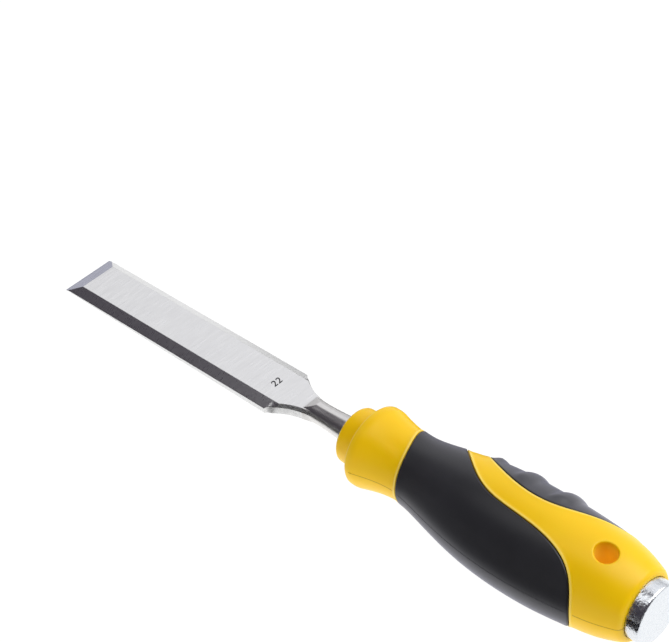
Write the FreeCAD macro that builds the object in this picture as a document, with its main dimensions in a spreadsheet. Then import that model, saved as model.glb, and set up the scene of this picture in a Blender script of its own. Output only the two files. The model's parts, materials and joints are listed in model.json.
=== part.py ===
import FreeCAD, Part
import os
from math import pi
import Sketcher
from FreeCAD import Vector

# Bench chisel: a bevel-edged steel blade, a moulded plastic handle with soft grips and a steel striking cap.
# Frame: origin at the middle of the cutting edge on the flat back, +X towards the striking cap,
# +Y across the blade on the finger-pad side, +Z out of the bevelled face. Millimetres.

os.makedirs("parts", exist_ok=True)
doc = FreeCAD.newDocument("bench_chisel")

# ---------------------------------------------------------------- driving dimensions
DIMENSIONS = {
    # blade
    "blade_width": 22.0,
    "blade_length": 106.0,          # cutting edge to the start of the shoulder
    "shoulder_length": 17.0,        # the waisted shoulder between blade and neck
    "edge_thickness": 2.6,          # blade thickness projected to the cutting edge
    "shoulder_thickness": 4.3,
    "side_bevel_width": 3.5,
    "side_bevel_depth": 2.0,
    "edge_bevel_length": 6.4,
    "shoulder_radius": 23.2,
    # neck and tang
    "axis_height": 2.1,             # handle axis above the flat back
    "neck_start": 113.5,
    "neck_full": 121.5,
    "neck_radius": 4.1,
    "neck_flare_start": 127.0,
    "neck_end_radius": 4.9,
    "tang_start": 144.0,
    "tang_end": 216.0,
    "tang_root_width": 6.6,
    "tang_tip_width": 4.4,
    # nose of the handle
    "nose_start": 139.6,
    "ring_radius": 10.7,
    "collar_start": 148.1,
    "collar_radius": 15.0,
    "nose_rounding": 0.9,
    # butt and striking cap
    "butt_end": 262.0,
    "butt_shift": 1.0,              # the butt leans a little towards the finger pad
    "butt_rounding": 2.8,
    "cap_radius": 10.8,
    "cap_seat_depth": 1.2,
    "cap_length": 6.4,
    "cap_rounding": 1.1,
    "spigot_radius": 4.6,
    "spigot_length": 7.0,
    # hanging hole
    "hole_centre": 247.6,
    "hole_shift": -0.6,             # towards the side away from the finger pad
    "hole_radius": 4.0,
    # soft grips
    "grip_wall": 2.6,
    "grip_proud": 0.45,
    "pad_proud": 0.1,
    "ridge_bend": 6.0,
}
# Handle sections: station along X, outer radius, share of the butt shift.
SECTIONS = [
    (151.0, 15.00, 0.0),
    (155.0, 13.90, 0.1),
    (160.0, 12.85, 0.25),
    (167.5, 12.30, 0.4),
    (177.0, 13.75, 0.35),
    (188.0, 16.10, 0.25),
    (201.0, 18.05, 0.1),
    (216.0, 18.80, 0.0),
    (231.0, 18.45, 0.3),
    (243.0, 17.40, 0.8),
    (253.0, 15.80, 1.0),
    (262.0, 12.70, 1.0),
]
# Finger ridges on the pad: station and radius of each crest.
RIDGES = [(193.0, 18.20), (208.2, 19.85), (223.2, 20.20)]
# Poles of the smooth outline curves, seen from above (X, Y).
OUTLINES = {
    "grip_front": [(158.8, 24.0), (160.6, 13.0), (167.2, 0.0), (169.2, -12.0), (169.2, -24.0)],
    "grip_rear": [
        (174.0, 24.0), (175.5, 15.5), (188.0, 4.0), (203.0, -7.0), (229.0, -5.8), (247.2, -12.8), (247.2, -24.0),
    ],
    "pad_edge": [
        (182.0, 24.0), (183.8, 15.0), (201.0, 3.8), (224.0, 1.2), (240.0, 13.5), (250.0, 15.0), (251.5, 24.0),
    ],
}

sheet = doc.addObject("Spreadsheet::Sheet", "dims")
sheet.Label = "dims"
next_row = [1]


def add_cell(alias, value):
    cell = f"A{next_row[0]}"
    sheet.set(cell, str(value))
    sheet.setAlias(cell, alias)
    next_row[0] += 1


for alias, value in DIMENSIONS.items():
    add_cell(alias, value)
for number, (station, radius, share) in enumerate(SECTIONS):
    add_cell(f"section_place_{number}", station)
    add_cell(f"section_radius_{number}", radius)
    add_cell(f"section_shift_{number}", share)
for number, (crest, radius) in enumerate(RIDGES):
    add_cell(f"ridge_place_{number}", crest)
    add_cell(f"ridge_radius_{number}", radius)
for outline, poles in OUTLINES.items():
    for number, (along, across) in enumerate(poles):
        add_cell(f"{outline}_along_{number}", along)
        add_cell(f"{outline}_across_{number}", across)
doc.recompute()


# ---------------------------------------------------------------- helpers
def value(expression):
    return float(sheet.evalExpression(expression))


def new_body(label):
    body = doc.addObject("PartDesign::Body", label)
    body.Label = label
    return body


def new_sketch(body, name, role, offset=(None, None, None)):
    """A sketch on one of the body's origin planes, moved by up to three expressions."""
    plane = next(item for item in body.Origin.OriginFeatures if item.Role == role)
    sketch = body.newObject("Sketcher::SketchObject", name)
    sketch.AttachmentSupport = [(plane, "")]
    sketch.MapMode = "FlatFace"
    for axis, expression in zip("xyz", offset):
        if expression:
            sketch.setExpression(f"AttachmentOffset.Base.{axis}", expression)
    return sketch


def bind(sketch, kind, places, expression):
    """Adds a constraint whose value follows an expression."""
    index = sketch.addConstraint(Sketcher.Constraint(kind, *places, value(expression)))
    sketch.setExpression(f"Constraints[{index}]", expression)


def place_point(sketch, geometry, point, across, up):
    """Holds a point at two expressions; None holds it on the sketch's own axis."""
    for kind, expression, axis in (("DistanceX", across, -2), ("DistanceY", up, -1)):
        if expression is None:
            sketch.addConstraint(Sketcher.Constraint("PointOnObject", geometry, point, axis))
        else:
            bind(sketch, kind, (-1, 1, geometry, point), expression)


def join_chain(sketch, chain):
    """Makes the nearest free ends of neighbouring edges in a closed chain coincide."""
    free = {(edge, end) for edge in chain for end in (1, 2)}
    for first, second in zip(chain, chain[1:] + chain[:1]):
        pairs = [(a, b) for a in free for b in free if a[0] == first and b[0] == second]
        nearest = min(pairs, key=lambda pair: sketch.getPoint(*pair[0]).distanceToPoint(sketch.getPoint(*pair[1])))
        free -= set(nearest)
        sketch.addConstraint(Sketcher.Constraint("Coincident", *nearest[0], *nearest[1]))


def closed_outline(sketch, corners):
    """A closed polygon through corners given as pairs of expressions."""
    spots = []
    for corner in corners:
        across, up = [0.0 if item is None else value(item) for item in corner]
        spots.append(Vector(across, up, 0))
    ends = spots[1:] + spots[:1]
    lines = [sketch.addGeometry(Part.LineSegment(start, end)) for start, end in zip(spots, ends)]
    join_chain(sketch, lines)
    for line, (across, up) in zip(lines, corners):
        place_point(sketch, line, 1, across, up)


def smooth_edge(sketch, outline):
    """A cubic curve whose poles sit at the spreadsheet's places."""
    poles = [Vector(along, across, 0) for along, across in OUTLINES[outline]]
    curve = Part.BSplineCurve()
    curve.buildFromPoles(poles, False, 3)
    edge = sketch.addGeometry(curve)
    sketch.exposeInternalGeometry(edge)
    for number in range(len(poles)):
        marker = edge + 1 + number
        place_point(sketch, marker, 3, f"dims.{outline}_along_{number}", f"dims.{outline}_across_{number}")
    return edge


def soft_region(sketch, outlines):
    """The closed region bounded by one or two smooth edges and straight lines past the handle's sides."""
    edges = [smooth_edge(sketch, outline) for outline in outlines]
    starts = [Vector(*OUTLINES[outline][0], 0) for outline in outlines]
    ends = [Vector(*OUTLINES[outline][-1], 0) for outline in outlines]
    if len(edges) == 1:
        closing = sketch.addGeometry(Part.LineSegment(ends[0], starts[0]))
        join_chain(sketch, [edges[0], closing])
        return
    near = sketch.addGeometry(Part.LineSegment(ends[0], ends[1]))
    far = sketch.addGeometry(Part.LineSegment(starts[1], starts[0]))
    join_chain(sketch, [edges[0], near, edges[1], far])


def cut_through(body, name, sketch):
    """A pocket through the whole body, both ways from its sketch."""
    doc.recompute()
    volume_before = body.Shape.Volume
    pocket = body.newObject("PartDesign::Pocket", name)
    pocket.Profile = sketch
    pocket.Type = "ThroughAll"
    pocket.Midplane = True
    doc.recompute()
    if body.Shape.Volume > volume_before - 1.0:
        raise RuntimeError(f"{name} cuts nothing")


def loft(body, name, kind, sections, ruled):
    feature = body.newObject(kind, name)
    feature.Profile = sections[0]
    feature.Sections = sections[1:]
    feature.Ruled = ruled
    doc.recompute()


def handle_form(body, name, kind, radius_change):
    """The handle's swelling outer form, its radius changed by an expression."""
    sections = []
    for number in range(len(SECTIONS)):
        offset = (f"dims.section_shift_{number} * dims.butt_shift", "dims.axis_height",
                  f"dims.section_place_{number}")
        sketch = new_sketch(body, f"{name}_section_{number}", "YZ_Plane", offset)
        circle = sketch.addGeometry(Part.Circle(Vector(0, 0, 0), Vector(0, 0, 1), 10.0))
        sketch.addConstraint(Sketcher.Constraint("Coincident", circle, 3, -1, 1))
        bind(sketch, "Radius", (circle,), f"dims.section_radius_{number} {radius_change}")
        sections.append(sketch)
    loft(body, name, kind, sections, False)


def axis_sketch(body, name, sideways=None):
    """A sketch in the upright plane along the handle, whose own horizontal axis is the handle axis."""
    return new_sketch(body, name, "XZ_Plane", (None, "dims.axis_height", sideways))


def turned(body, name, kind, sketch):
    """A closed profile turned about the handle axis."""
    feature = body.newObject(kind, name)
    feature.Profile = sketch
    feature.ReferenceAxis = (sketch, ["H_Axis"])
    feature.Angle = 360.0
    doc.recompute()


def turned_outline(body, name, kind, corners, sideways=None):
    sketch = axis_sketch(body, f"{name}_profile", sideways)
    closed_outline(sketch, corners)
    turned(body, name, kind, sketch)


def round_rim(body, name, rounding, place, radius):
    """Rounds the circular edge of one radius at one station along X."""
    base = body.Tip
    names = []
    for number, edge in enumerate(base.Shape.Edges, start=1):
        at_place = abs(edge.CenterOfMass.x - value(place)) < 0.02
        if at_place and abs(edge.Length - 2 * pi * value(radius)) < 0.1:
            names.append(f"Edge{number}")
    if not names:
        raise RuntimeError(f"{name} finds no edge")
    fillet = body.newObject("PartDesign::Fillet", name)
    fillet.Base = (base, names)
    fillet.setExpression("Radius", rounding)
    doc.recompute()


# ---------------------------------------------------------------- blade, neck and tang: one forging
SHOULDER_END = "(dims.blade_length + dims.shoulder_length)"
TAPER = "(dims.shoulder_thickness - dims.edge_thickness) / dims.blade_length"
NECK = [
    ("dims.neck_full", "dims.neck_radius"),
    ("dims.neck_flare_start", "dims.neck_radius"),
    ("dims.nose_start", "dims.neck_end_radius"),
    ("dims.tang_start", "dims.neck_end_radius"),
    ("dims.tang_start", None),
]


def blade_section(body, name, place, thickness):
    """The blade's six-sided section: flat back, upright lands, side bevels, narrower top."""
    sketch = new_sketch(body, name, "YZ_Plane", (None, None, place))
    half = "dims.blade_width / 2"
    top_half = "(dims.blade_width / 2 - dims.side_bevel_width)"
    land = f"{thickness} - dims.side_bevel_depth"
    closed_outline(sketch, [
        (f"-{half}", None), (half, None), (half, land),
        (top_half, thickness), (f"-{top_half}", thickness), (f"-{half}", land),
    ])
    return sketch


def tang_form(body, name, kind):
    """The square tang that the core is moulded round, tapering into the handle."""
    sections = []
    for end, width in (("start", "dims.tang_root_width"), ("end", "dims.tang_tip_width")):
        sketch = new_sketch(body, f"{name}_{end}", "YZ_Plane", (None, "dims.axis_height", f"dims.tang_{end}"))
        half = f"{width} / 2"
        closed_outline(sketch, [(f"-{half}", f"-{half}"), (half, f"-{half}"), (half, half), (f"-{half}", half)])
        sections.append(sketch)
    loft(body, name, kind, sections, True)


def shoulder_waist(body):
    """The two hollow curves that narrow the blade to its neck."""
    sketch = new_sketch(body, "shoulder_waist_profile", "XY_Plane")
    start, end, radius = value("dims.blade_length"), value(SHOULDER_END), value("dims.shoulder_radius")
    half = value("dims.blade_width / 2")
    rise = (radius**2 - (end - start) ** 2) ** 0.5
    for side, sign in ((1, ""), (-1, "-")):
        centre = Vector(end, side * (half + rise), 0)
        corner = Vector(start, side * half, 0)
        low = Vector(end, centre.y - side * radius, 0)
        spread = (corner - centre).normalize() + (low - centre).normalize()
        arc = sketch.addGeometry(Part.Arc(corner, centre + spread.normalize() * radius, low))
        stops = [low, Vector(end + 1, low.y, 0), Vector(end + 1, side * (half + 1), 0),
                 Vector(start, side * (half + 1), 0), corner]
        lines = [sketch.addGeometry(Part.LineSegment(*pair)) for pair in zip(stops, stops[1:])]
        join_chain(sketch, [arc] + lines)
        for line, kind in zip(lines, ("Horizontal", "Vertical", "Horizontal", "Vertical")):
            sketch.addConstraint(Sketcher.Constraint(kind, line))
        place_point(sketch, lines[3], 2, "dims.blade_length", f"{sign}dims.blade_width / 2")
        place_point(sketch, lines[1], 2, f"{SHOULDER_END} + 1", f"{sign}(dims.blade_width / 2 + 1)")
        bind(sketch, "DistanceX", (-1, 1, arc, 3), SHOULDER_END)
        bind(sketch, "DistanceX", (-1, 1, lines[0], 1), SHOULDER_END)
        bind(sketch, "Radius", (arc,), "dims.shoulder_radius")
    cut_through(body, "shoulder_waist", sketch)


def build_blade():
    body = new_body("blade")
    sections = [
        blade_section(body, "edge_section", None, "dims.edge_thickness"),
        blade_section(body, "neck_section", SHOULDER_END, f"(dims.edge_thickness + {TAPER} * {SHOULDER_END})"),
    ]
    loft(body, "flat_blade", "PartDesign::AdditiveLoft", sections, True)
    bevel = new_sketch(body, "cutting_bevel_profile", "XZ_Plane")
    clear = "2 * dims.shoulder_thickness"
    closed_outline(bevel, [
        (None, None),
        ("dims.edge_bevel_length", f"dims.edge_thickness + {TAPER} * dims.edge_bevel_length"),
        ("dims.edge_bevel_length", clear),
        (None, clear),
    ])
    cut_through(body, "cutting_bevel", bevel)
    shoulder_waist(body)
    turned_outline(body, "neck", "PartDesign::Revolution", [("dims.neck_start", None)] + NECK)
    tang_form(body, "tang", "PartDesign::AdditiveLoft")
    return body


# ---------------------------------------------------------------- striking cap: a turned head on a spigot
CAP_SEAT = "(dims.butt_end - dims.cap_seat_depth)"
SPIGOT_END = f"({CAP_SEAT} - dims.spigot_length)"
CAP_FACE = f"({CAP_SEAT} + dims.cap_length)"
SPIGOT = [
    (CAP_SEAT, "dims.spigot_radius"),
    (f"{SPIGOT_END} + dims.spigot_length * 0.7", "dims.spigot_radius"),
    (f"{SPIGOT_END} + dims.spigot_length * 0.6", "dims.spigot_radius * 0.8"),
    (f"{SPIGOT_END} + dims.spigot_length * 0.4", "dims.spigot_radius * 0.8"),
    (f"{SPIGOT_END} + dims.spigot_length * 0.3", "dims.spigot_radius"),
    (SPIGOT_END, "dims.spigot_radius"),
    (SPIGOT_END, None),
]


def cap_outline(face):
    return [(face, None), (face, "dims.cap_radius"), (CAP_SEAT, "dims.cap_radius")] + SPIGOT


def build_striking_cap():
    body = new_body("striking_cap")
    turned_outline(body, "turned_cap", "PartDesign::Revolution", cap_outline(CAP_FACE), "-dims.butt_shift")
    round_rim(body, "face_rounding", "dims.cap_rounding", CAP_FACE, "dims.cap_radius")
    return body


# ---------------------------------------------------------------- handle core: hard plastic
def build_handle_core():
    body = new_body("handle_core")
    last = len(SECTIONS) - 1
    handle_form(body, "outer_form", "PartDesign::AdditiveLoft", "+ 0")
    for name, outlines in SOFT_REGIONS.items():
        seat = new_sketch(body, f"{name}_seat_outline", "XY_Plane")
        soft_region(seat, outlines)
        cut_through(body, f"{name}_seat", seat)
    handle_form(body, "inner_form", "PartDesign::AdditiveLoft", "- dims.grip_wall")
    turned_outline(body, "nose", "PartDesign::Revolution", [
        ("dims.nose_start", None), ("dims.nose_start", "dims.ring_radius"),
        ("dims.collar_start", "dims.ring_radius"), ("dims.collar_start", "dims.collar_radius"),
        ("dims.section_place_0", "dims.collar_radius"), ("dims.section_place_0", None),
    ])
    round_rim(body, "ring_rounding", "dims.nose_rounding", "dims.nose_start", "dims.ring_radius")
    round_rim(body, "collar_rounding", "dims.nose_rounding", "dims.collar_start", "dims.collar_radius")
    round_rim(body, "butt_rounding", "dims.butt_rounding", f"dims.section_place_{last}",
              f"dims.section_radius_{last}")
    hole = new_sketch(body, "hanging_hole_circle", "XY_Plane")
    middle = Vector(value("dims.hole_centre"), value("dims.hole_shift"), 0)
    circle = hole.addGeometry(Part.Circle(middle, Vector(0, 0, 1), value("dims.hole_radius")))
    place_point(hole, circle, 3, "dims.hole_centre", "dims.hole_shift")
    bind(hole, "Radius", (circle,), "dims.hole_radius")
    cut_through(body, "hanging_hole", hole)
    turned_outline(body, "neck_socket", "PartDesign::Groove", [("dims.neck_full", None)] + NECK)
    tang_form(body, "tang_socket", "PartDesign::SubtractiveLoft")
    turned_outline(body, "cap_seat", "PartDesign::Groove", cap_outline("(dims.butt_end + 1)"), "-dims.butt_shift")
    return body


# ---------------------------------------------------------------- soft grips: rubber moulded over the core
SOFT_REGIONS = {"grip_sleeve": ["grip_front", "grip_rear"], "finger_pad": ["pad_edge"]}


def trim_to_region(body, outlines):
    """Cuts away all that lies outside the grip's outline."""
    sketch = new_sketch(body, "trim_outline", "XY_Plane")
    soft_region(sketch, outlines)
    low, high, side = "dims.nose_start - 10", "dims.butt_end + 10", "2 * dims.collar_radius"
    closed_outline(sketch, [(low, f"-{side}"), (high, f"-{side}"), (high, side), (low, side)])
    cut_through(body, "trim", sketch)


def build_grip_sleeve():
    body = new_body("grip_sleeve")
    handle_form(body, "outer_form", "PartDesign::AdditiveLoft", "+ dims.grip_proud")
    handle_form(body, "inner_form", "PartDesign::SubtractiveLoft", "- dims.grip_wall")
    trim_to_region(body, SOFT_REGIONS["grip_sleeve"])
    return body


def build_finger_pad():
    body = new_body("finger_pad")
    handle_form(body, "outer_form", "PartDesign::AdditiveLoft", "+ dims.pad_proud")
    for number in range(len(RIDGES)):
        profile = axis_sketch(body, f"ridge_{number}_profile")
        place = f"dims.ridge_place_{number}"
        depth = f"dims.ridge_radius_{number} - dims.ridge_bend"
        circle = profile.addGeometry(Part.Circle(Vector(value(place), value(depth), 0), Vector(0, 0, 1), value("dims.ridge_bend")))
        place_point(profile, circle, 3, place, depth)
        bind(profile, "Radius", (circle,), "dims.ridge_bend")
        turned(body, f"ridge_{number}", "PartDesign::Revolution", profile)
    handle_form(body, "inner_form", "PartDesign::SubtractiveLoft", "- dims.grip_wall")
    trim_to_region(body, SOFT_REGIONS["finger_pad"])
    return body


# ---------------------------------------------------------------- build, check and write
pieces = [build_blade(), build_handle_core(), build_grip_sleeve(), build_finger_pad(), build_striking_cap()]
doc.recompute()
for item in doc.Objects:
    if "Invalid" in item.State or "Error" in item.State:
        raise RuntimeError(f"{item.Name} failed: {item.State}")
for piece in pieces:
    piece.Placement = FreeCAD.Placement()
    shape = piece.Shape
    if shape.isNull() or not shape.isValid():
        raise RuntimeError(f"{piece.Label} has no valid shape")
    box = shape.BoundBox
    print(f"{piece.Label}: {len(shape.Solids)} solid, {shape.Volume:.0f} mm3, "
          f"X {box.XMin:.1f}..{box.XMax:.1f}  Y {box.YMin:.1f}..{box.YMax:.1f}  Z {box.ZMin:.1f}..{box.ZMax:.1f}")
    shape.exportStep(f"parts/{piece.Label}.step")
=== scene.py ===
import json
from math import asin, atan, cos, degrees, pi, radians, sin, sqrt

import bmesh
import bpy
import numpy as np
from mathutils import Matrix, Vector
from mathutils.geometry import delaunay_2d_cdt


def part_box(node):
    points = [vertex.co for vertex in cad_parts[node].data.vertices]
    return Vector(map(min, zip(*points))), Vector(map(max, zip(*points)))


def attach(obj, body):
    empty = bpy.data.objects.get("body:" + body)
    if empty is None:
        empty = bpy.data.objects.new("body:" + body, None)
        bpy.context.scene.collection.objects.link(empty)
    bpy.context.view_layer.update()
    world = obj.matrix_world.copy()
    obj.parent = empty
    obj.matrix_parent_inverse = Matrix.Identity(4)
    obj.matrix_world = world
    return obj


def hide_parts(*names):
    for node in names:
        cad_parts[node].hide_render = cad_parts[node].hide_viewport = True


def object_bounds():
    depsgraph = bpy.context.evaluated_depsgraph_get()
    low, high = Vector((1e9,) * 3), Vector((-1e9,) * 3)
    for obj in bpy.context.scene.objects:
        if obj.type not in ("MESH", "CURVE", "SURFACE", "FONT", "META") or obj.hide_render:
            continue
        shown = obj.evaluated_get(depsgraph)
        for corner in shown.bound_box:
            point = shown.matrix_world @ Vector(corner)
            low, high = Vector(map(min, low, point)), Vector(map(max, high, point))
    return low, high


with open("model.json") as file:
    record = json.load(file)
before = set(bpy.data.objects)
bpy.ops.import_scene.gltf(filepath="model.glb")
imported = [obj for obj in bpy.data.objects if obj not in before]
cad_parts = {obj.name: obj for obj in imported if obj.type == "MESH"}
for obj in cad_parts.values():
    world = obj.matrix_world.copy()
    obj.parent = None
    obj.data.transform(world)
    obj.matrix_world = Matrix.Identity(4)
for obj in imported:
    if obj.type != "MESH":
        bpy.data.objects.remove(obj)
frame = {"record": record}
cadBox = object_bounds()
mm = 0.001
print("frame loaded")

# A bench chisel lying on its handle: +X runs from the cutting edge to the striking cap,
# +Y to the finger-pad side, +Z out of the bevelled face. Sizes below are in millimetres.


def linear(hexCode):
    channels = [int(hexCode[i:i + 2], 16) / 255 for i in (1, 3, 5)]
    return tuple(c / 12.92 if c <= 0.04045 else ((c + 0.055) / 1.055) ** 2.4
                 for c in channels) + (1.0,)


# Adds a node, sets its properties, then fills or links its inputs.
# A node given as an input stands for its first output.
def addNode(tree, kind, inputs=None, **settings):
    made = tree.nodes.new(kind)
    made.location = (220 * (len(tree.nodes) % 12), -320 * (len(tree.nodes) // 12))
    for name, value in settings.items():
        setattr(made, name, value)
    for key, value in (inputs or {}).items():
        if isinstance(value, bpy.types.Node):
            value = value.outputs[0]
        if isinstance(value, bpy.types.NodeSocket):
            tree.links.new(value, made.inputs[key])
        else:
            made.inputs[key].default_value = value
    return made


# A material with an empty tree, and the place on the piece that its patterns follow
def newMaterial(name):
    material = bpy.data.materials.new(name)
    material.use_nodes = True
    tree = material.node_tree
    tree.nodes.clear()
    return material, tree, addNode(tree, "ShaderNodeTexCoord").outputs["Object"]


# A tone that wanders between two colours with a noise, and that noise, which can move gloss or relief too
def wanderingTone(tree, place, scale, detail, low, high):
    noise = addNode(tree, "ShaderNodeTexNoise", {"Vector": place, "Scale": scale, "Detail": detail})
    tone = addNode(tree, "ShaderNodeMix", {0: noise, 6: linear(low), 7: linear(high)}, data_type="RGBA")
    return tone.outputs[2], noise


def inScene(thing):
    bpy.context.scene.collection.objects.link(thing)
    return thing


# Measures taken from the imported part
capLow, capHigh = [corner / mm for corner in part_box("striking_cap")]
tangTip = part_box("blade")[1].x / mm
axisHeight = (capLow.z + capHigh.z) / 2
mounts = {mount["name"]: mount for mount in frame["record"]["mounts"]}
holePlace = [value / mm for value in mounts["hanging_hole"]["pos_m"]]
holeRadius = mounts["hanging_hole"]["dims"]["r_mm"]


weldDistance = 0.0006


# Welds doubles, drops slivers and turns every face outwards; distances in metres
def cleanMesh(mesh, weld, sliver=0.0):
    work = bmesh.new()
    work.from_mesh(mesh)
    bmesh.ops.remove_doubles(work, verts=work.verts, dist=weld)
    if sliver:
        bmesh.ops.dissolve_degenerate(work, edges=work.edges, dist=sliver)
    bmesh.ops.recalc_face_normals(work, faces=work.faces)
    work.to_mesh(mesh)
    work.free()


# Turns points in millimetres and faces into a closed, welded, smooth-shaded piece
def makePiece(name, points, faces, materials, faceSlots=None, marks=None):
    mesh = bpy.data.meshes.new(name)
    mesh.from_pydata([tuple(point) for point in np.asarray(points, float) * mm], [], faces)
    for material in materials:
        mesh.materials.append(material)
    if faceSlots is not None:
        mesh.polygons.foreach_set("material_index", faceSlots)
    for markName, values in (marks or {}).items():
        layer = mesh.attributes.new(markName, "FLOAT", "POINT")
        layer.data.foreach_set("value", np.asarray(values, np.float32))
    cleanMesh(mesh, weldDistance * mm, weldDistance * mm * 0.5)
    mesh.shade_smooth()
    print(name, len(mesh.polygons), "faces")
    return inScene(bpy.data.objects.new(name, mesh))


# The plain mesh that an object's modifiers or letters give
def plainMesh(source):
    bpy.context.view_layer.update()
    graph = bpy.context.evaluated_depsgraph_get()
    return bpy.data.meshes.new_from_object(source.evaluated_get(graph), depsgraph=graph)


# Stage: pale floor, camera and soft studio light
studio = {
    "aim": (93.33, 38.32, 2.1), "distance": 759.3, "azimuth": 46.92, "elevation": 40.9, "roll": -5.28,
    "lens": 112.24, "floorColours": ("#FDFDFD", "#FFFFFF"), "floorReach": 6.0, "floorGap": 0.2,
    "floorLit": 0.93, "floorSeen": 1.08, "floorGiven": 1.14, "floorSpread": 1.55,
    "roomDark": "#46424A", "roomBright": "#FCFCFF", "roomHorizon": 0.5, "curtainEdge": (0.15, 0.40),
    "wallTop": 0.6,
}


def aimedAt(place, target, roll=0.0):
    turn = (Vector(target) - Vector(place)).to_track_quat("-Z", "Y").to_matrix().to_4x4()
    return Matrix.Translation(Vector(place) * mm) @ turn @ Matrix.Rotation(radians(roll), 4, "Z")


def makeCamera():
    azimuth, elevation = radians(studio["azimuth"]), radians(studio["elevation"])
    back = Vector((sin(azimuth) * cos(elevation), -cos(azimuth) * cos(elevation), sin(elevation)))
    lens = bpy.data.cameras.new("camera")
    lens.lens, lens.sensor_width = studio["lens"], 36.0
    lens.clip_start, lens.clip_end = 0.05, 20.0
    camera = inScene(bpy.data.objects.new("camera", lens))
    aim = Vector(studio["aim"])
    camera.matrix_world = aimedAt(aim + back * studio["distance"], aim, studio["roll"])
    bpy.context.scene.camera = camera


# Each panel: place, target, width, height, brightness
panels = {
    "keyPanel": ((560, 380, 620), (200, 0, 0), 520, 520, 4.1),
    "topPanel": ((330, 40, 760), (200, 0, 0), 420, 300, 3.6),
    "fillPanel": ((120, -720, 320), (210, 0, 0), 420, 300, 2.6),
}


def makeLights():
    for name, (place, target, width, height, brightness) in panels.items():
        light = bpy.data.lights.new(name, "AREA")
        light.shape, light.size, light.size_y = "RECTANGLE", width * mm, height * mm
        light.energy = pi * width * height * mm * mm * brightness
        lamp = inScene(bpy.data.objects.new(name, light))
        lamp.matrix_world = aimedAt(place, target)
        lamp.visible_glossy = name != "fillPanel"  # the fill doesn't show in the polish
    # The room: a pale wall and ceiling behind the tool, a dark curtain in front of it
    world = bpy.data.worlds.new("studioRoom")
    world.use_nodes = True
    tree = world.node_tree
    tree.nodes.clear()
    direction = addNode(tree, "ShaderNodeSeparateXYZ", {
        0: addNode(tree, "ShaderNodeTexCoord").outputs["Generated"]})
    side = addNode(tree, "ShaderNodeMapRange", {
        "Value": direction.outputs["Y"], "From Min": studio["curtainEdge"][0],
        "From Max": studio["curtainEdge"][1]}, interpolation_type="SMOOTHSTEP")
    height = addNode(tree, "ShaderNodeMapRange", {
        "Value": direction.outputs["Z"], "From Max": studio["wallTop"], "To Min": studio["roomHorizon"]})
    colour = addNode(tree, "ShaderNodeMix", {
        0: side, 6: linear(studio["roomDark"]), 7: linear(studio["roomBright"])}, data_type="RGBA")
    glow = addNode(tree, "ShaderNodeBackground", {"Color": colour.outputs[2], "Strength": height})
    addNode(tree, "ShaderNodeOutputWorld", {"Surface": glow})
    bpy.context.scene.world = world


# Floor: matt white acrylic sheet, lit from below as product tables are: white, nearly without shadow
def makeFloor():
    material, tree, place = newMaterial("litWhiteAcrylic")
    tone = wanderingTone(tree, place, 2.0, 2.0, *studio["floorColours"])[0]
    # one brightness for what is seen of the sheet, one for its reflections, one for the light it gives
    path = addNode(tree, "ShaderNodeLightPath")
    spread = addNode(tree, "ShaderNodeMapRange", {
        "Value": path.outputs["Is Diffuse Ray"], "To Min": studio["floorGiven"],
        "To Max": studio["floorSpread"]})
    glow = addNode(tree, "ShaderNodeMapRange", {
        "Value": path.outputs["Is Camera Ray"], "To Min": spread, "To Max": studio["floorSeen"]})
    matt = addNode(tree, "ShaderNodeBsdfDiffuse", {"Color": tone})
    light = addNode(tree, "ShaderNodeEmission", {"Color": tone, "Strength": glow})
    sheet = addNode(tree, "ShaderNodeMixShader", {0: studio["floorLit"], 1: matt, 2: light})
    addNode(tree, "ShaderNodeOutputMaterial", {"Surface": sheet})
    low, high = cadBox
    centre = (low + high) / 2
    work = bmesh.new()
    bmesh.ops.create_grid(work, x_segments=8, y_segments=8, size=studio["floorReach"])
    bmesh.ops.translate(work, verts=work.verts, vec=(centre.x, centre.y, low.z - studio["floorGap"] * mm))
    mesh = bpy.data.meshes.new("floor")
    work.to_mesh(mesh)
    work.free()
    mesh.materials.append(material)
    inScene(bpy.data.objects.new("floor", mesh))


# Black flags laid on the floor beside the tool, each with its reach along X and Y, and a height over it:
# only polished faces see them, as the dark bands that give steel its shape
flags = {"frontFlag": ((-300, 520), (-600, -34)), "backFlag": ((20, 190), (40, 130))}
flagHeight = 0.1
# White card above and in front of the butt, seen only by the striking cap's side
whiteCard = {
    "place": (113, -85, 373), "target": (264, 0, 5), "along": 140, "across": 320, "brightness": 1.35,
}


# A flat card for polished faces to reflect, which neither shows nor throws a shadow
def stageCard(name, corners, material, place=Matrix()):
    mesh = bpy.data.meshes.new(name)
    mesh.from_pydata([Vector(corner) * mm for corner in corners], [], [(0, 1, 2, 3)])
    mesh.transform(place)
    mesh.materials.append(material)
    card = inScene(bpy.data.objects.new(name, mesh))
    card.visible_camera = card.visible_diffuse = False
    card.visible_shadow = card.visible_transmission = False


def makeFlags():
    material, tree, place = newMaterial("blackVelvet")
    tone = wanderingTone(tree, place, 900.0, 2.0, "#101012", "#1A1A1D")[0]
    velvet = addNode(tree, "ShaderNodeBsdfDiffuse", {"Color": tone})
    addNode(tree, "ShaderNodeOutputMaterial", {"Surface": velvet})
    height = cadBox[0].z / mm + flagHeight
    for name, ((left, right), (near, far)) in flags.items():
        stageCard(name, ((left, near, height), (right, near, height), (right, far, height),
                         (left, far, height)), material)


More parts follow.
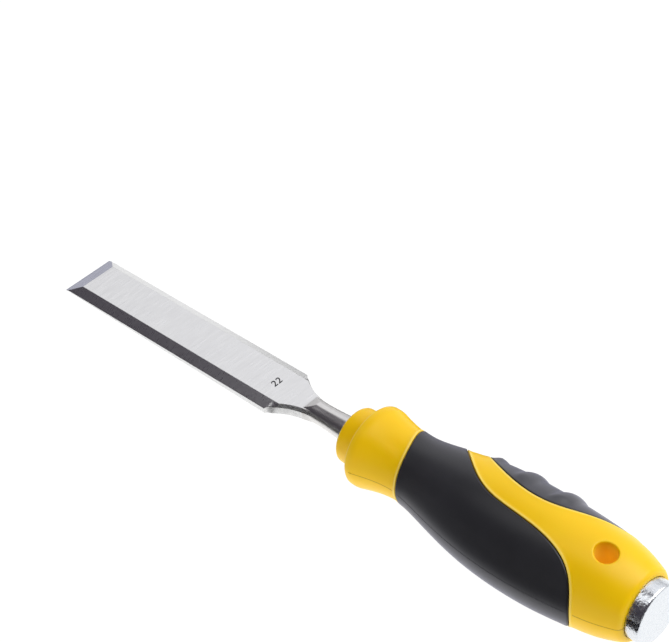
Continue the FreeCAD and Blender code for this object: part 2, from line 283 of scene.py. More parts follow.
def makeWhiteCard():
    material, tree, place = newMaterial("litWhiteCard")
    tone = wanderingTone(tree, place, 300.0, 2.0, "#F4F4F6", "#FFFFFF")[0]
    light = addNode(tree, "ShaderNodeEmission", {"Color": tone, "Strength": whiteCard["brightness"]})
    addNode(tree, "ShaderNodeOutputMaterial", {"Surface": light})
    along, across = whiteCard["along"] / 2, whiteCard["across"] / 2
    corners = ((-along, -across, 0), (along, -across, 0), (along, across, 0), (-along, across, 0))
    stageCard("whiteCard", corners, material, aimedAt(whiteCard["place"], whiteCard["target"]))


makeCamera()
makeLights()
makeFloor()
makeFlags()
makeWhiteCard()
bpy.context.scene.view_settings.view_transform = "Standard"
print("stage ready")


# Tool steel, surface ground then lapped: pale grey metal with fine straight grinding lines
def groundSteel(name, colours, roughness):
    material, tree, place = newMaterial(name)
    # grinding grit leaves lines about 0.05 mm apart; drawn at about 0.25 mm so that they show
    lines = addNode(tree, "ShaderNodeTexNoise", {
        "Vector": addNode(tree, "ShaderNodeMapping", {"Vector": place, "Scale": (900.0, 40.0, 200.0)}),
        "Scale": 3.0, "Detail": 4.0, "Roughness": 0.65})
    tone = wanderingTone(tree, place, 70.0, 3.0, *colours[:2])[0]
    marked = addNode(tree, "ShaderNodeMapRange", {
        "Value": lines, "From Min": 0.35, "From Max": 0.7, "To Max": 0.22})
    lined = addNode(tree, "ShaderNodeMix", {
        0: marked, 6: tone, 7: linear(colours[2])}, data_type="RGBA")
    dull = addNode(tree, "ShaderNodeMapRange", {
        "Value": lines, "From Min": 0.3, "From Max": 0.7,
        "To Min": roughness - 0.05, "To Max": roughness + 0.07})
    bump = addNode(tree, "ShaderNodeBump", {"Height": lines, "Strength": 0.10, "Distance": 0.00003})
    steel = addNode(tree, "ShaderNodeBsdfPrincipled", {
        "Base Color": lined.outputs[2], "Metallic": 1.0, "Roughness": dull, "Normal": bump})
    addNode(tree, "ShaderNodeOutputMaterial", {"Surface": steel})
    return material


# Forged and fettled steel: the browner, darker neck, with a soft forging texture under the polish
def forgedSteel():
    material, tree, place = newMaterial("forgedNeckSteel")
    # hammer scale about 1.5 mm across, polishing streaks along the neck
    tone = wanderingTone(tree, place, 650.0, 4.0, "#D9D6D4", "#EBEAE8")[0]
    streaks = addNode(tree, "ShaderNodeTexNoise", {
        "Vector": addNode(tree, "ShaderNodeMapping", {"Vector": place, "Scale": (90.0, 900.0, 900.0)}),
        "Scale": 2.0, "Detail": 3.0})
    dull = addNode(tree, "ShaderNodeMapRange", {"Value": streaks, "To Min": 0.27, "To Max": 0.36})
    bump = addNode(tree, "ShaderNodeBump", {"Height": streaks, "Strength": 0.05, "Distance": 0.00003})
    steel = addNode(tree, "ShaderNodeBsdfPrincipled", {
        "Base Color": tone, "Metallic": 1.0, "Roughness": dull, "Normal": bump})
    addNode(tree, "ShaderNodeOutputMaterial", {"Surface": steel})
    return material


# Moulded polypropylene: warm yellow, semi-gloss, with a faint orange peel, painted paler along lips and
# rims as highlights
def mouldedPolypropylene(name, low, high):
    material, tree, place = newMaterial(name)
    tone, clouds = wanderingTone(tree, place, 45.0, 2.0, low, high)
    # orange peel about 0.7 mm across
    peel = addNode(tree, "ShaderNodeTexNoise", {"Vector": place, "Scale": 1400.0, "Detail": 2.0})
    # painted highlight: lips and rims are painted paler where their rounded edges catch the light
    lip = addNode(tree, "ShaderNodeAttribute", attribute_name="edgeHighlight").outputs["Fac"]
    highlightedTone = addNode(tree, "ShaderNodeMix", {
        0: lip, 6: tone, 7: linear("#FDDC6A")}, data_type="RGBA")
    # painted light inside the hanging hole: a paler colour, and the glow below
    deep = addNode(tree, "ShaderNodeAttribute", attribute_name="insideHole").outputs["Fac"]
    shaded = addNode(tree, "ShaderNodeMix", {
        0: deep, 6: highlightedTone.outputs[2], 7: linear("#FFD257")}, data_type="RGBA")
    # painted light: inside the hanging hole the yellow is painted paler and glows, for light from both
    # ends of the hole spreading through its thin wall
    glow = addNode(tree, "ShaderNodeMath", {0: deep, 1: 0.16}, operation="MULTIPLY")
    dull = addNode(tree, "ShaderNodeMapRange", {"Value": clouds, "To Min": 0.30, "To Max": 0.42})
    bump = addNode(tree, "ShaderNodeBump", {"Height": peel, "Strength": 0.08, "Distance": 0.00005})
    plastic = addNode(tree, "ShaderNodeBsdfPrincipled", {
        "Base Color": shaded.outputs[2], "Roughness": dull, "IOR": 1.49, "Specular IOR Level": 0.3,
        "Normal": bump, "Emission Color": linear("#C8A000"), "Emission Strength": glow,
        "Subsurface Weight": 0.12, "Subsurface Radius": (0.004, 0.002, 0.0006), "Subsurface Scale": 1.0})
    addNode(tree, "ShaderNodeOutputMaterial", {"Surface": plastic})
    return material


# Thermoplastic rubber from a spark-eroded mould: near-black, matt, with a cool sheen at glancing angles
def mouldedRubber(name, low, high):
    material, tree, place = newMaterial(name)
    # spark texture about 0.3 mm across, handling marks about 15 mm across
    grit = addNode(tree, "ShaderNodeTexNoise", {"Vector": place, "Scale": 2600.0, "Detail": 3.0})
    tone, marks = wanderingTone(tree, place, 65.0, 4.0, low, high)
    # painted shade: a black line round each grip, darkest against the lip, for the shade in the gap there;
    # the sheen fades there too
    edge = addNode(tree, "ShaderNodeAttribute", attribute_name="nearEdge").outputs["Fac"]
    edgeShadow = addNode(tree, "ShaderNodeMix", {
        0: edge, 6: tone, 7: linear("#08080A")}, data_type="RGBA")
    sheen = addNode(tree, "ShaderNodeMapRange", {"Value": edge, "To Min": 0.75, "To Max": 0.0})
    dull = addNode(tree, "ShaderNodeMapRange", {"Value": marks, "To Min": 0.36, "To Max": 0.48})
    bump = addNode(tree, "ShaderNodeBump", {"Height": grit, "Strength": 0.18, "Distance": 0.00006})
    rubber = addNode(tree, "ShaderNodeBsdfPrincipled", {
        "Base Color": edgeShadow.outputs[2], "Roughness": dull, "IOR": 1.52, "Normal": bump,
        "Sheen Weight": sheen, "Sheen Roughness": 0.35, "Sheen Tint": linear("#C8C8E0")})
    addNode(tree, "ShaderNodeOutputMaterial", {"Surface": rubber})
    return material


# Zinc-plated turned steel: bright and slightly blue, dimpled and sparkling
def zincPlatedSteel():
    material, tree, place = newMaterial("zincPlatedSteel")
    # crystals of the plating about 0.8 mm across
    spangle = addNode(tree, "ShaderNodeTexVoronoi", {"Vector": place, "Scale": 1100.0})
    tone, grain = wanderingTone(tree, place, 1500.0, 4.0, "#CFD5DC", "#F4F6F8")
    dull = addNode(tree, "ShaderNodeMapRange", {
        "Value": spangle.outputs["Distance"], "To Min": 0.14, "To Max": 0.34})
    relief = addNode(tree, "ShaderNodeMath", {0: grain, 1: spangle.outputs["Distance"]}, operation="ADD")
    bump = addNode(tree, "ShaderNodeBump", {"Height": relief, "Strength": 0.5, "Distance": 0.0001})
    steel = addNode(tree, "ShaderNodeBsdfPrincipled", {
        "Base Color": tone, "Metallic": 1.0, "Roughness": dull, "Normal": bump})
    addNode(tree, "ShaderNodeOutputMaterial", {"Surface": steel})
    return material


# Pad-printing ink: thin matt black with slightly uneven cover
def padPrintInk():
    material, tree, place = newMaterial("padPrintInk")
    tone, cover = wanderingTone(tree, place, 2500.0, 2.0, "#1A1A1C", "#3A3A3E")
    bump = addNode(tree, "ShaderNodeBump", {"Height": cover, "Strength": 0.1, "Distance": 0.00002})
    ink = addNode(tree, "ShaderNodeBsdfPrincipled", {
        "Base Color": tone, "Roughness": 0.55, "Normal": bump})
    addNode(tree, "ShaderNodeOutputMaterial", {"Surface": ink})
    return material


faceSteel = groundSteel("surfaceGroundSteel", ("#E9E9E9", "#F0F0EF", "#D6D6D8"), 0.30)
# painted shade: the cutting bevel is the blade's own steel painted darker and bluer, for the greyer
# reflection it shows
bevelSteel = groundSteel("groundCuttingBevel", ("#9FA1B2", "#AFB0C1", "#8A8CA0"), 0.22)
neckSteel = forgedSteel()
yellowPlastic = mouldedPolypropylene("mouldedPolypropylene", "#F2C100", "#F8CA00")
# painted shade: the seam's plastic is a darker copy of the yellow, for the shade along its fine ridge
shadedSeamPlastic = mouldedPolypropylene("shadedSeamPolypropylene", "#B88C00", "#C79C08")
blackRubber = mouldedRubber("mouldedRubber", "#1B1B1D", "#26262B")
litPadRubber = mouldedRubber("litPadRubber", "#34343A", "#444449")  # painted light: a greyer copy of the same rubber, for the light falling on the pad
platedSteel = zincPlatedSteel()
printInk = padPrintInk()
print("materials ready")


# Blade: one forging, drawn as sections from the cutting edge to the tang
blade = {
    "width": 22.0, "length": 106.0, "edgeThickness": 2.6, "shoulderThickness": 4.3,
    "sideBevelWidth": 3.5, "sideBevelDepth": 2.0, "edgeBevelLength": 6.4, "edgeLand": 0.03,
    "backSpots": 12, "sideSpots": 7, "bevelSpots": 8, "faceSpots": 26,
    "shoulderEnd": 123.0, "shoulderRadius": 23.2, "cornerRounding": 0.11,
    "footFlare": 0.72, "waistFlare": 0.62, "waistHeight": 2.98,
    "coneStart": 113.5, "neckFull": 121.5, "neckRadius": 4.1, "flareStart": 127.0, "flareEnd": 140.0,
    "rampStart": 118.2, "rampEnd": 122.0, "flatHalfWidth": (0.66, 0.3),
    "neckEndRadius": 4.9, "tangStart": 144.0, "tangRootWidth": 6.6, "tangTipWidth": 4.4, "blend": 0.25,
}


# Three points in place of a corner, for a small rounding
def roundedCorner(before, corner, after, size):
    into, out = before - corner, after - corner
    first = corner + into * (min(size, into.length * 0.33) / into.length)
    last = corner + out * (min(size, out.length * 0.33) / out.length)
    return [first, (first + last) * 0.25 + corner * 0.5, last]


# Points strictly between two ends, closer together near both ends or near the last one
def between(start, end, count, bothEnds=True):
    shares = [step / (count + 1) for step in range(1, count + 1)]
    if bothEnds:
        return [start.lerp(end, 0.5 - 0.5 * cos(pi * share)) for share in shares]
    return [start.lerp(end, sin(pi / 2 * share)) for share in shares]


def easeBetween(low, high, value):
    share = min(max((value - low) / (high - low), 0.0), 1.0)
    return share * share * (3 - 2 * share)


def faceHeight(x):
    b = blade
    rise = b["shoulderThickness"] - b["edgeThickness"]
    return b["edgeThickness"] + rise * min(x, b["shoulderEnd"]) / b["length"]


# Half of the flat blade's section, from the middle of the back round the side to the middle of the face
def bladeHalfSection(x):
    b = blade
    thickness = faceHeight(x)
    land = thickness - b["sideBevelDepth"]
    half, foot, waist = b["width"] / 2, 0.0, 0.0
    slope = b["sideBevelDepth"] / b["sideBevelWidth"]
    if x > b["length"]:
        reach = b["shoulderEnd"] - min(x, b["shoulderEnd"])
        rise = sqrt(b["shoulderRadius"] ** 2 - (b["shoulderEnd"] - b["length"]) ** 2)
        half += rise - sqrt(b["shoulderRadius"] ** 2 - reach ** 2)
        foot = b["footFlare"] * easeBetween(b["length"], b["length"] + 3, x)
        waist = b["waistFlare"] * easeBetween(b["length"] + 0.5, b["length"] + 4, x)
    top = thickness
    if x < b["edgeBevelLength"]:
        top = max(b["edgeLand"], faceHeight(b["edgeBevelLength"]) * x / b["edgeBevelLength"])
    sideTop = min(land + (b["width"] / 2 - half) * slope, top - min(0.05, top / 4))
    if x > b["length"]:
        sideTop = min(sideTop, b["waistHeight"])
    innerY = min(b["width"] / 2 - b["sideBevelWidth"] + (thickness - top) / slope, half - 0.02)
    corners = [Vector((0, 0)), Vector((half + foot, 0)), Vector((half + waist, sideTop)),
               Vector((innerY, top)), Vector((0, top))]
    rounding = [roundedCorner(*corners[i - 1:i + 2], b["cornerRounding"]) for i in (1, 2, 3)]
    line = [corners[0]] + between(corners[0], rounding[0][0], b["backSpots"], False) + rounding[0]
    line += between(rounding[0][2], rounding[1][0], b["sideSpots"]) + rounding[1]
    line += between(rounding[1][2], rounding[2][0], b["bevelSpots"]) + rounding[2]
    count = b["faceSpots"]
    line += [rounding[2][2].lerp(corners[4], (step + 0.3) / (count + 1)) for step in range(count)]
    return line + [corners[4]]


# The greater of two lengths, with a short smooth passage where they are nearly equal
def softGreater(a, b, passage):
    near = max(passage - abs(a - b), 0.0) / passage
    return max(a, b) + near * near * passage / 4


# The neck's reach from its axis: round, with a narrow flat on top that ramps down onto the blade's face
def neckReach(x, rise):
    b = blade
    flare = easeBetween(b["flareStart"] - 3, b["flareEnd"] + 3, x)
    radius = b["neckRadius"] + (b["neckEndRadius"] - b["neckRadius"]) * flare
    if rise <= 0:
        return radius * min(1.0, max(0.0, (x - b["coneStart"]) / (b["neckFull"] - b["coneStart"])))
    wide, narrow = b["flatHalfWidth"]
    flat = sqrt(radius ** 2 - (wide + (narrow - wide) * easeBetween(b["rampEnd"], b["tangStart"], x)) ** 2)
    base = faceHeight(b["rampStart"]) - axisHeight
    ramp = base + (flat - base) * (x - b["rampStart"]) / (b["rampEnd"] - b["rampStart"])
    return min(radius * easeBetween(b["length"], b["length"] + 10, x), min(flat, ramp) / rise)


def bladeSection(x):
    b = blade
    line = bladeHalfSection(x)
    if x <= b["length"]:
        return line
    centre = Vector((0, axisHeight))
    fade = 1 - 0.2 * easeBetween(b["shoulderEnd"] - 5, b["shoulderEnd"] + 4, x)
    shaped = []
    for point in line:
        arm = point - centre
        neck = neckReach(x, arm.y / arm.length)
        reach = neck if x > b["shoulderEnd"] + 4 else softGreater(arm.length * fade, neck, b["blend"])
        shaped.append(centre + arm.normalized() * reach)
    return shaped


def tangSection(share, count):
    width = blade["tangRootWidth"] + (blade["tangTipWidth"] - blade["tangRootWidth"]) * share
    line = []
    for step in range(count):
        angle = -pi / 2 + pi * step / (count - 1)
        reach = width / 2 / max(abs(cos(angle)), abs(sin(angle)))
        line.append(Vector((reach * cos(angle), axisHeight + reach * sin(angle))))
    return line


def makeBlade():
    b = blade
    bevel, length = b["edgeBevelLength"], b["length"]
    places = [0, 0.2, 0.6, 1.2, 2, 3, 4, 5, 5.8, bevel - 0.1, bevel, bevel + 0.1, bevel + 0.5, 8]
    places += list(np.arange(12, length - 3, 5.0))
    places += [length - 2, length - 0.6, length - 0.12, length, length + 0.12]
    places += list(np.arange(length + 0.4, b["flareStart"], 0.3))
    places += list(np.arange(b["flareStart"] + 0.5, b["tangStart"], 1.3)) + [b["tangStart"]]
    rows = [(x, bladeSection(x)) for x in places]
    half = len(rows[0][1])
    rows += [(b["tangStart"] + 0.02, tangSection(0.0, half)), (tangTip, tangSection(1.0, half))]
    points, faces, slots = [], [], []
    for x, line in rows:
        points += [(x, point.x, point.y) for point in line]
        points += [(x, -point.x, point.y) for point in line[-2:0:-1]]
    around = 2 * half - 2
    topCorner = 1 + b["backSpots"] + 3 + b["sideSpots"] + 3 + b["bevelSpots"] + 1
    for row in range(len(rows) - 1):
        x = rows[row][0]
        for step in range(around):
            a, c = row * around + step, row * around + (step + 1) % around
            faces.append((a, c, c + around, a + around))
            onTop = topCorner <= step < around - topCorner
            slots.append(2 if x > b["rampStart"] - 0.1 else 1 if x < bevel - 0.05 and onTop else 0)
    # both ends are closed with strips between each spot and the one opposite
    for row in (0, len(rows) - 1):
        for step in range(half - 1):
            quad = (step, step + 1, around - step - 1, (around - step) % around)
            faces.append(tuple(dict.fromkeys(row * around + place for place in quad)))
            slots.append(0)
    piece = makePiece("bladeForging", points, faces, [faceSteel, bevelSteel, neckSteel], slots)
    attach(piece, "root")
    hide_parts("blade")


makeBlade()
print("blade ready")


# Handle form shared by the core and both grips: places along X of its round sections, with their radius
# and their lean towards +Y
handle = {
    "stations": ((151, 15.00, 0), (155, 13.90, 0.1), (160, 12.85, 0.25), (167.5, 12.30, 0.4),
                 (177, 13.75, 0.35), (188, 16.10, 0.25), (201, 18.05, 0.1), (216, 18.80, 0),
                 (231, 18.45, 0.3), (243, 17.40, 0.8), (253, 15.80, 1), (262, 12.70, 1)),
    "gripFront": ((158.8, 24), (160.6, 13), (167.2, 0), (169.2, -12), (169.2, -24)),
    "gripRear": ((174, 24), (175.5, 15.5), (188, 4), (203, -7), (229, -5.8), (247.2, -12.8), (247.2, -24)),
    "padEdge": ((182, 24), (183.8, 15), (201, 3.8), (224, 1.2), (240, 13.5), (250, 15), (251.5, 24)),
    "gripWall": 2.6, "underGap": 0.12, "halfGap": 0.13, "wallRun": 0.05, "cellSize": 0.9, "turns": 73,
    "lineStep": 0.6, "outlineSpots": 900, "meanRadius": 16.0, "formStart": 151.5,
    "formEnd": 259.7, "holeSpots": 72,
}


# A smooth curve through stations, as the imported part's lofts have
def splineThrough(places, values):
    places, values = np.asarray(places, float), np.asarray(values, float)
    last, gaps = len(places) - 1, np.diff(places)
    system, right = np.eye(last + 1), np.zeros(last + 1)
    for i in range(1, last):
        system[i, i - 1:i + 2] = gaps[i - 1], 2 * (gaps[i - 1] + gaps[i]), gaps[i]
        right[i] = 6 * ((values[i + 1] - values[i]) / gaps[i] - (values[i] - values[i - 1]) / gaps[i - 1])
    bend = np.linalg.solve(system, right)

    def read(x):
        i = np.clip(np.searchsorted(places, x) - 1, 0, last - 1)
        gap = gaps[i]
        a, b = (places[i + 1] - x) / gap, (x - places[i]) / gap
        return (a * values[i] + b * values[i + 1]
                + ((a ** 3 - a) * bend[i] + (b ** 3 - b) * bend[i + 1]) * gap * gap / 6)
    return read


formRadius = splineThrough(*np.array(handle["stations"]).T[:2])
formLean = splineThrough(*np.array(handle["stations"]).T[[0, 2]])


def onForm(x, turn, lift):
    reach = formRadius(x) + lift
    return np.column_stack((x, formLean(x) + reach * np.cos(turn), axisHeight + reach * np.sin(turn)))


# A clamped cubic B-spline with the given poles, at many places
def smoothOutline(poles):
    poles = np.asarray(poles, float)
    last = len(poles) - 1
    knots = np.concatenate((np.zeros(3), np.arange(last - 1), np.full(3, last - 2.0)))
    found = []
    for at in np.linspace(0, last - 2 - 1e-9, handle["outlineSpots"]):
        k = int(at) + 3
        work = [poles[j + k - 3].copy() for j in range(4)]
        for level in range(1, 4):
            for j in range(3, level - 1, -1):
                low, high = knots[j + k - 3], knots[j + 1 + k - level]
                share = (at - low) / (high - low)
                work[j] = (1 - share) * work[j - 1] + share * work[j]
        found.append(work[3])
    return np.array(found)


# The outline where it lies on the upper half of the form, as x and the turn round the axis, evenly spaced
def outlineOnForm(poles):
    curve = smoothOutline(poles)
    ratio = (curve[:, 1] - formLean(curve[:, 0])) / formRadius(curve[:, 0])
    on = np.flatnonzero(np.abs(ratio) < 1)
    line = [(curve[i, 0], np.arccos(ratio[i])) for i in on]
    for i, outer in ((on[0], on[0] - 1), (on[-1], on[-1] + 1)):
        if 0 <= outer < len(curve):
            edge = np.sign(ratio[i])
            share = (edge - ratio[i]) / (ratio[outer] - ratio[i])
            x = curve[i, 0] + (curve[outer, 0] - curve[i, 0]) * share
            end = (x, 0.0 if edge > 0 else pi)
            line = [end] + line if outer < i else line + [end]
    line = np.array(line)
    steps = np.hypot(np.diff(line[:, 0]), np.diff(line[:, 1]) * formRadius(line[1:, 0]))
    travel = np.concatenate(([0], np.cumsum(steps)))
    even = np.linspace(0, travel[-1], int(travel[-1] / handle["lineStep"]) + 1)
    return np.column_stack([np.interp(even, travel, line[:, k]) for k in (0, 1)])


# The same line moved sideways over the form; a positive distance is to its left
def besideLine(line, distance):
    x, turn = line.T
    stretch = np.sqrt(1 + ((formRadius(x + 0.05) - formRadius(x - 0.05)) / 0.1) ** 2)
    along, around = np.gradient(x) * stretch, np.gradient(turn) * formRadius(x)
    for end in (0, -1):
        along[end] = 0.0
    size = np.hypot(along, around)
    return np.column_stack((x - distance * around / size / stretch,
                            turn + distance * along / size / formRadius(x)))


def insideLoop(spots, loop):
    x, turn = spots[:, 0], np.clip(spots[:, 1], 0, pi - 1e-5)
    result = np.zeros(len(spots), bool)
    for (x1, t1), (x2, t2) in zip(loop, np.roll(loop, -1, axis=0)):
        if t1 != t2:
            result ^= ((t1 > turn) != (t2 > turn)) & (x < (x2 - x1) * (turn - t1) / (t2 - t1) + x1)
    return result


# Distance over the form to the nearest of some lines
def distanceTo(spots, lines):
    target = onForm(spots[:, 0], spots[:, 1], 0.0)
    nearest = np.full(len(spots), 1e9)
    for line in lines:
        ends = onForm(line[:, 0], line[:, 1], 0.0)
        for start, end in zip(ends[:-1], ends[1:]):
            way = end - start
            share = np.clip((target - start) @ way / (way @ way), 0, 1)
            nearest = np.minimum(nearest, np.linalg.norm(target - start - share[:, None] * way, axis=1))
    return nearest


frontLine = outlineOnForm(handle["gripFront"])
rearLine = outlineOnForm(handle["gripRear"])
padLine = outlineOnForm(handle["padEdge"])
# Each grip: its lines with the side on which its inside lies, and its loop on the upper half of the form
grips = {
    "sleeve": {"lines": ((frontLine, -1), (rearLine, 1)), "loop": np.vstack((frontLine, rearLine[::-1]))},
    "pad": {"lines": ((padLine, -1),), "loop": padLine},
}


# Distance into a grip: positive inside its outline, negative outside
def depthInto(grip, spots):
    distance = distanceTo(spots, [line for line, _ in grips[grip]["lines"]])
    return np.where(insideLoop(spots, grips[grip]["loop"]), distance, -distance)


def holeDistance(spots):
    place = onForm(spots[:, 0], spots[:, 1], 0.0)
    return np.hypot(place[:, 0] - holePlace[0], place[:, 1] - holePlace[1]) - holeRadius


def holeRing(distance):
    angles = np.linspace(0, 2 * pi, handle["holeSpots"], endpoint=False)
    x = holePlace[0] + (holeRadius + distance) * np.cos(angles)
    y = holePlace[1] + (holeRadius + distance) * np.sin(angles)
    return np.column_stack((x, np.arccos((y - formLean(x)) / formRadius(x))))


# How far a quarter-round edge falls at a distance from its wall, and the distances that draw it well
def edgeFall(distance, size):
    inward = np.clip(size - distance, 0, size)
    return size - np.sqrt(size ** 2 - inward ** 2)


def edgeSteps(size):
    return [size * (1 - cos(radians(angle))) for angle in (0, 22.5, 45, 67.5, 90)]


# Triangles over the upper half of the form through given rows of spots; closed rows are marked
def triangulate(rows, fill):
    spots, edges = [fill], []
    count = len(fill)
    for row, closed in rows:
        last = count + len(row)
        edges += [(i, i + 1) for i in range(count, last - 1)] + ([(last - 1, count)] if closed else [])
        spots.append(row)
        count = last
    spots = np.vstack(spots)
    flat = [Vector((x, turn * handle["meanRadius"])) for x, turn in spots]
    found = delaunay_2d_cdt(flat, edges, [], 0, 1e-5)
    places = np.array([tuple(spot) for spot in found[0]])
    spots = np.column_stack((places[:, 0], places[:, 1] / handle["meanRadius"]))
    return spots, [tuple(face) for face in found[2]]


# Even spots over the upper half of the form, with its border rows
def fillSpots():
    start, end = handle["formStart"], handle["formEnd"]
    places = np.linspace(start, end, int((end - start) / handle["cellSize"]) + 1)
    return np.array([(x, turn) for x in places for turn in np.linspace(0, pi, handle["turns"])])


allFill = fillSpots()


# Doubles the upper half below the parting plane
def mirrored(points, faces):
    points = np.asarray(points, float)
    lower = points * (1, 1, -1) + (0, 0, 2 * axisHeight)
    count = len(points)
    return (np.vstack((points, lower)),
            list(faces) + [tuple(i + count for i in reversed(face)) for face in faces])


# Core: one hollow moulding with seats for the grips, tang, cap and hanging hole
core = {
    "lipHeight": 0.22, "lipWidth": 1.5, "edgeRounding": 0.35, "holeRounding": 0.45,
    "lipRows": (0.3, 0.7, 1.2, 1.8), "holeRows": (0.4, 1.0), "holeSteps": 12,
    "ringStart": 139.6, "ringRadius": 10.4, "ringFlare": 1.0, "collarStart": 148.1, "collarRadius": 15.0,
    "collarEnd": 150.3, "collarRounding": 0.7, "ringRounding": 1.0, "innerRounding": 0.5,
    "tangBore": 4.72, "tangBoreEnd": 217.0,
    "neckBore": 5.02, "neckBoreEnd": 145.0, "buttEnd": 262.0, "buttRounding": 2.8, "seatClearance": 0.12,
    "seatDepth": 1.2, "spigotBore": 4.7, "spigotDepth": 7.2,
    # painted highlights: strength on the rims, then inset and half width for rims and lips
    "rimHighlight": 0.8, "rimHighlightPlace": (0.25, 0.6), "lipHighlightPlace": (0.45, 0.6),  # inset and half width
}


def arcPoints(centre, radius, first, last, count=7):
    return [(centre[0] + radius * cos(radians(a)), centre[1] + radius * sin(radians(a)))
            for a in np.linspace(first, last, count)]


# Profile from the bottom of the tang bore out over the nose to the start of the form: x and radius
def noseProfile():
    c = core
    size, inner, edge = c["ringRounding"], c["innerRounding"], c["collarRounding"]
    foot = c["ringRadius"] + c["ringFlare"]
    line = [(c["tangBoreEnd"], 0), (c["tangBoreEnd"], c["tangBore"]), (c["neckBoreEnd"], c["tangBore"]),
            (c["neckBoreEnd"], c["neckBore"]), (c["ringStart"] + 0.5, c["neckBore"]),
            (c["ringStart"] + 0.12, c["neckBore"] + 0.1), (c["ringStart"], c["neckBore"] + 0.45)]
    line += [(c["ringStart"], r) for r in np.linspace(6.5, c["ringRadius"] - size - 0.3, 4)]
    line += arcPoints((c["ringStart"] + size, c["ringRadius"] - size), size, 180, 96, 8)
    for share in np.linspace(0.08, 1, 9):
        line.append((c["ringStart"] + size + (c["collarStart"] - inner - c["ringStart"] - size) * share,
                     c["ringRadius"] + c["ringFlare"] * share ** 1.6))
    line += arcPoints((c["collarStart"] - inner, foot + inner), inner, -68, 0, 6)
    flat = np.linspace(foot + inner + 0.4, c["collarRadius"] - edge - 0.3, 3)
    line += [(c["collarStart"], r) for r in flat]
    line += arcPoints((c["collarStart"] + edge, c["collarRadius"] - edge), edge, 180, 90, 8)
    start = handle["formStart"]
    line += [(c["collarEnd"], c["collarRadius"]), (start, float(formRadius(start)))]
    return line


# Profile from the end of the form over the butt into the cap's seat and spigot bore
def buttProfile():
    c, end = core, handle["formEnd"]
    size, edge = c["buttRounding"], float(formRadius(c["buttEnd"]))
    slope = float(formRadius(c["buttEnd"] - 1)) - edge
    centre = edge + slope * size - size * sqrt(1 + slope ** 2)
    seat = (capHigh.y - capLow.y) / 2 + c["seatClearance"]
    floor = c["buttEnd"] - c["seatDepth"]
    first, last = 86 - degrees(atan(slope)), degrees(asin((seat + 0.3 - centre) / size))
    line = [(end, float(formRadius(end)))] + arcPoints((c["buttEnd"] - size, centre), size, first, last)
    mouth = line[-1][0]
    line += [(mouth + 0.02, seat + 0.12), (mouth - 0.12, seat), (floor, seat), (floor, c["spigotBore"]),
             (floor - c["spigotDepth"], c["spigotBore"]), (floor - c["spigotDepth"], 0)]
    return line


# Painted highlight: the front rims of the nose are painted paler, where their rounded edges catch the
# light
def rimHighlight(x, radius, start, size):
    inset, reach = core["rimHighlightPlace"]
    away = sqrt((x - start - inset) ** 2 + (radius - size + inset) ** 2)
    return core["rimHighlight"] * max(0.0, 1 - away / reach)


# Rows turned half round the axis, matching the border rows of the form
def halfTurned(profile, points, faces, marks):
    count = handle["turns"]
    turns = np.linspace(0, pi, count)
    highlightedRims = ((core["ringStart"], core["ringRadius"]), (core["collarStart"], core["collarRadius"]))
    first, last = handle["stations"][0][0], handle["stations"][-1][0]
    for row, (x, radius) in enumerate(profile):
        lean = float(formLean(min(max(x, first), last)))
        base = len(points)
        points += [(x, lean + radius * cos(turn), axisHeight + radius * sin(turn)) for turn in turns]
        # painted highlight along the front rims of the ring and collar
        marks += [max(rimHighlight(x, radius, start, size) for start, size in highlightedRims)] * count
        if row:
            for step in range(count - 1):
                a = base - count + step
                faces.append((a, a + 1, a + 1 + count, a + count))


